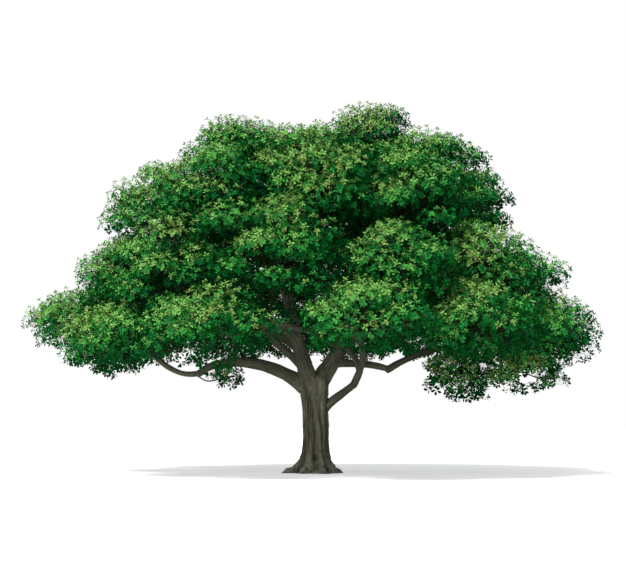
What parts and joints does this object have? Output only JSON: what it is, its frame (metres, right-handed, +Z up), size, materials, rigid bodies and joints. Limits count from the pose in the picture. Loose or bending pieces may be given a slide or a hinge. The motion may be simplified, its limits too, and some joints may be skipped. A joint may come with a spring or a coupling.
{
  "type": "open-grown oak tree",
  "caption": "Broad-crowned oak in full leaf: short flared trunk forking low into spreading boughs, under a wide dome of foliage masses with hanging lower edges.",
  "frame": {"origin": "middle of the flat cut under the trunk, at ground level", "axes": "+Z up; +X along the crown's widest spread, away from the low bough that dips; +Y square to both"},
  "size_m": [19.4391, 18.6009, 13.3969],
  "materials": {
    "bark": "rough furrowed grey-brown bark",
    "leaves": "satin green leaves, a few sprays tinted gold and russet"
  },
  "bodies": {
    "root": {"bough_tuft_foliage": "leaves", "crest_foliage": "leaves", "east_bough": "bark", "east_bough_arm": "bark", "east_side_arm": "bark", "east_side_bough": "bark", "east_stem": "bark", "hanging_east_foliage": "leaves", "hanging_far_east_foliage": "leaves", "hanging_west_foliage": "leaves", "north_east_limb": "bark", "north_limb": "bark", "north_west_limb": "bark", "shoulder_foliage_01": "leaves", "shoulder_foliage_02": "leaves", "shoulder_foliage_03": "leaves", "shoulder_foliage_04": "leaves", "shoulder_foliage_05": "leaves", "shoulder_foliage_06": "leaves", "shoulder_foliage_07": "leaves", "shoulder_foliage_08": "leaves", "shoulder_foliage_09": "leaves", "shoulder_foliage_10": "leaves", "shoulder_foliage_11": "leaves", "skirt_foliage_01": "leaves", "skirt_foliage_02": "leaves", "skirt_foliage_03": "leaves", "skirt_foliage_04": "leaves", "skirt_foliage_05": "leaves", "skirt_foliage_06": "leaves", "skirt_foliage_07": "leaves", "skirt_foliage_08": "leaves", "skirt_foliage_09": "leaves", "skirt_foliage_10": "leaves", "skirt_foliage_11": "leaves", "south_branch": "bark", "south_east_limb": "bark", "south_west_limb": "bark", "top_foliage_01": "leaves", "top_foliage_02": "leaves", "top_foliage_03": "leaves", "top_foliage_04": "leaves", "top_foliage_05": "leaves", "trunk": "bark", "upper_foliage_01": "leaves", "upper_foliage_02": "leaves", "upper_foliage_03": "leaves", "upper_foliage_04": "leaves", "upper_foliage_05": "leaves", "upper_foliage_06": "leaves", "upper_foliage_07": "leaves", "upper_foliage_08": "leaves", "upper_foliage_09": "leaves", "upper_north_east_limb": "bark", "upper_north_west_limb": "bark", "upper_south_east_limb": "bark", "west_bough": "bark", "west_bough_arm": "bark", "west_branch": "bark", "west_stem": "bark"}
  },
  "joints": []
}
